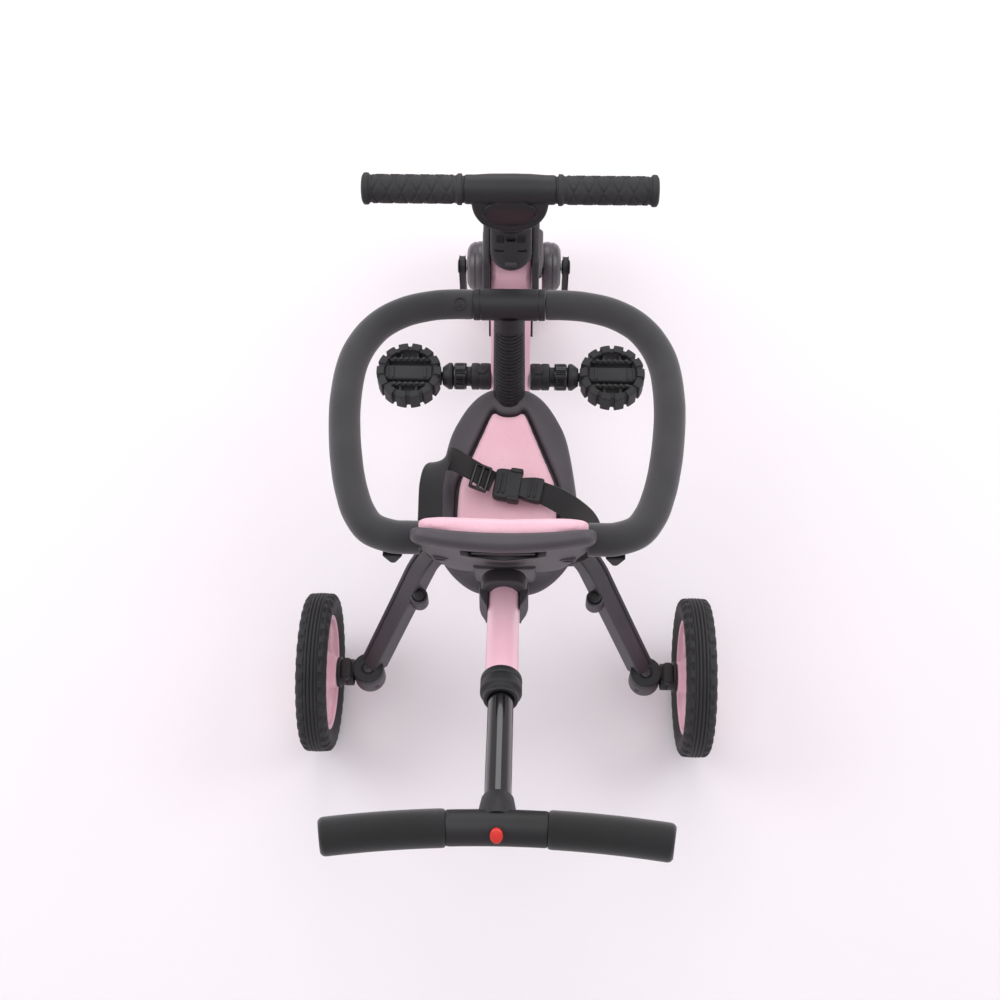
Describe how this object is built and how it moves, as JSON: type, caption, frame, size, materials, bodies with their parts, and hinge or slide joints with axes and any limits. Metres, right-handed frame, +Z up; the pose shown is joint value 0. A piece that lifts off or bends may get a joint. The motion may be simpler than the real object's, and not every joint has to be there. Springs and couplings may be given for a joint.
{
  "type": "children's tricycle",
  "caption": "Child's tricycle with parent push bar, padded guard ring, pink seat, swing-in rear arms, parked pedals and a direct-drive front wheel.",
  "frame": {"origin": "on the ground, under the middle of the footprint", "axes": "+Y forward (direction of travel), +X to the rider's right, +Z up"},
  "size_m": [0.462, 0.9474, 0.5576],
  "materials": {
    "pink_frame": "satin pink paint",
    "pink_plastic": "satin pink plastic",
    "pink_cover": "soft pink leatherette over foam",
    "grey_plastic": "fine-grained dark grey plastic",
    "black_plastic": "fine-grained black plastic",
    "gloss_black": "gloss black",
    "black_tube": "gloss black paint",
    "black_foam": "fine-celled foam rubber",
    "tyre": "matt",
    "grip": "moulded rubber",
    "steel": "zinc plated",
    "webbing": "woven polyester webbing",
    "red_plastic": "satin red"
  },
  "bodies": {
    "frame": {"main_beam": "pink_frame", "beam_cover": "black_plastic", "pedal_socket_right": "black_plastic", "pedal_socket_left": "black_plastic", "hub": "grey_plastic", "seat_base": "grey_plastic", "seat_shell": "grey_plastic", "seat_cushion": "pink_cover", "crotch_post": "black_plastic", "ring_foam_right": "black_foam", "ring_foam_left": "black_foam", "ring_sleeve": "black_plastic", "back_shell": "grey_plastic", "back_pad": "pink_cover", "belt_left": "webbing", "belt_right": "webbing", "buckle_body": "black_plastic", "buckle_tongue": "black_plastic", "handle_bracket": "grey_plastic", "handle_outer_tube": "pink_frame", "handle_collar": "black_plastic"},
    "head": {"head_block": "grey_plastic", "latch_cap": "grey_plastic"},
    "latch_button": {"latch_button": "black_plastic"},
    "steering": {"fork": "grey_plastic", "steerer": "steel", "stem_cover": "black_plastic", "badge": "gloss_black", "handlebar": "steel", "grip_right": "grip", "grip_left": "grip", "axle_cover_right": "grey_plastic", "axle_cover_left": "grey_plastic"},
    "front_wheel": {"front_tyre": "tyre", "front_disc": "pink_plastic", "front_axle": "steel", "crank_right": "steel", "crank_left": "steel"},
    "push_handle": {"handle_inner_tube": "black_tube", "snap_clip": "black_plastic", "push_bar": "black_plastic", "push_grip_right": "black_foam", "push_grip_left": "black_foam"},
    "red_button": {"red_button": "red_plastic"},
    "arm_right": {"arm_right": "grey_plastic"},
    "arm_button_right": {"arm_button_right": "black_plastic"},
    "knuckle_right": {"knuckle_right": "black_plastic"},
    "rear_wheel_right": {"rear_tyre_right": "tyre", "rear_disc_right": "pink_plastic"},
    "pedal_right": {"pedal_right": "grip"},
    "socket_sleeve_right": {"socket_sleeve_right": "black_plastic"},
    "ring_tab_right": {"ring_tab_right": "black_plastic"},
    "arm_left": {"arm_left": "grey_plastic"},
    "arm_button_left": {"arm_button_left": "black_plastic"},
    "knuckle_left": {"knuckle_left": "black_plastic"},
    "rear_wheel_left": {"rear_tyre_left": "tyre", "rear_disc_left": "pink_plastic"},
    "pedal_left": {"pedal_left": "grip"},
    "socket_sleeve_left": {"socket_sleeve_left": "black_plastic"},
    "ring_tab_left": {"ring_tab_left": "black_plastic"}
  },
  "joints": [
    {"name": "head_fold", "type": "hinge", "parent": "frame", "child": "head", "pos_m": [0, 0.20718, 0.346], "axis": [-1, 0, 0], "range_deg": [0, 35]},
    {"name": "latch_press", "type": "slide", "parent": "head", "child": "latch_button", "axis": [0, 0.8195, -0.573], "range_m": [0, 0.0015], "stiffness_N_per_m": 150},
    {"name": "steer", "type": "hinge", "parent": "head", "child": "steering", "pos_m": [0, 0.35718, 0.117], "axis": [0, -0.4226, 0.9063], "range_deg": [-35, 35]},
    {"name": "front_wheel_spin", "type": "hinge", "parent": "steering", "child": "front_wheel", "pos_m": [0, 0.35718, 0.117], "axis": [1, 0, 0], "continuous": true},
    {"name": "handle_slide", "type": "slide", "parent": "frame", "child": "push_handle", "axis": [0, -0.8878, 0.4602], "range_m": [-0.068, 0]},
    {"name": "red_button_press", "type": "slide", "parent": "push_handle", "child": "red_button", "axis": [0, 0.5534, -0.8329], "range_m": [0, 0.0025], "stiffness_N_per_m": 150},
    {"name": "arm_fold_right", "type": "hinge", "parent": "frame", "child": "arm_right", "pos_m": [0.071, -0.08082, 0.231], "axis": [0, 0, -1], "range_deg": [0, 38]},
    {"name": "knuckle_turn_right", "type": "hinge", "parent": "arm_right", "child": "knuckle_right", "pos_m": [0.157, -0.18082, 0.09], "axis": [0, 0, -1], "range_deg": [-38, 0]},
    {"name": "rear_wheel_spin_right", "type": "hinge", "parent": "knuckle_right", "child": "rear_wheel_right", "pos_m": [0.212, -0.18082, 0.09], "axis": [1, 0, 0], "continuous": true},
    {"name": "arm_button_press_right", "type": "slide", "parent": "arm_right", "child": "arm_button_right", "axis": [0, 0, -1], "range_m": [0, 0.002], "stiffness_N_per_m": 150},
    {"name": "pedal_spin_right", "type": "hinge", "parent": "frame", "child": "pedal_right", "pos_m": [0.11, 0.11518, 0.254], "axis": [1, 0, 0], "continuous": true},
    {"name": "sleeve_pull_right", "type": "slide", "parent": "frame", "child": "socket_sleeve_right", "axis": [-1, 0, 0], "range_m": [0, 0.004], "stiffness_N_per_m": 150},
    {"name": "tab_press_right", "type": "slide", "parent": "frame", "child": "ring_tab_right", "axis": [-1, 0, 0], "range_m": [0, 0.004], "stiffness_N_per_m": 150},
    {"name": "arm_fold_left", "type": "hinge", "parent": "frame", "child": "arm_left", "pos_m": [-0.071, -0.08082, 0.231], "axis": [0, 0, 1], "range_deg": [0, 38]},
    {"name": "knuckle_turn_left", "type": "hinge", "parent": "arm_left", "child": "knuckle_left", "pos_m": [-0.157, -0.18082, 0.09], "axis": [0, 0, 1], "range_deg": [-38, 0]},
    {"name": "rear_wheel_spin_left", "type": "hinge", "parent": "knuckle_left", "child": "rear_wheel_left", "pos_m": [-0.212, -0.18082, 0.09], "axis": [1, 0, 0], "continuous": true},
    {"name": "arm_button_press_left", "type": "slide", "parent": "arm_left", "child": "arm_button_left", "axis": [0, 0, -1], "range_m": [0, 0.002], "stiffness_N_per_m": 150},
    {"name": "pedal_spin_left", "type": "hinge", "parent": "frame", "child": "pedal_left", "pos_m": [-0.11, 0.11518, 0.254], "axis": [1, 0, 0], "continuous": true},
    {"name": "sleeve_pull_left", "type": "slide", "parent": "frame", "child": "socket_sleeve_left", "axis": [1, 0, 0], "range_m": [0, 0.004], "stiffness_N_per_m": 150},
    {"name": "tab_press_left", "type": "slide", "parent": "frame", "child": "ring_tab_left", "axis": [1, 0, 0], "range_m": [0, 0.004], "stiffness_N_per_m": 150}
  ],
  "couplings": [
    {"joint": "knuckle_turn_right", "follows": "arm_fold_right", "ratio": -1},
    {"joint": "knuckle_turn_left", "follows": "arm_fold_left", "ratio": -1}
  ]
}
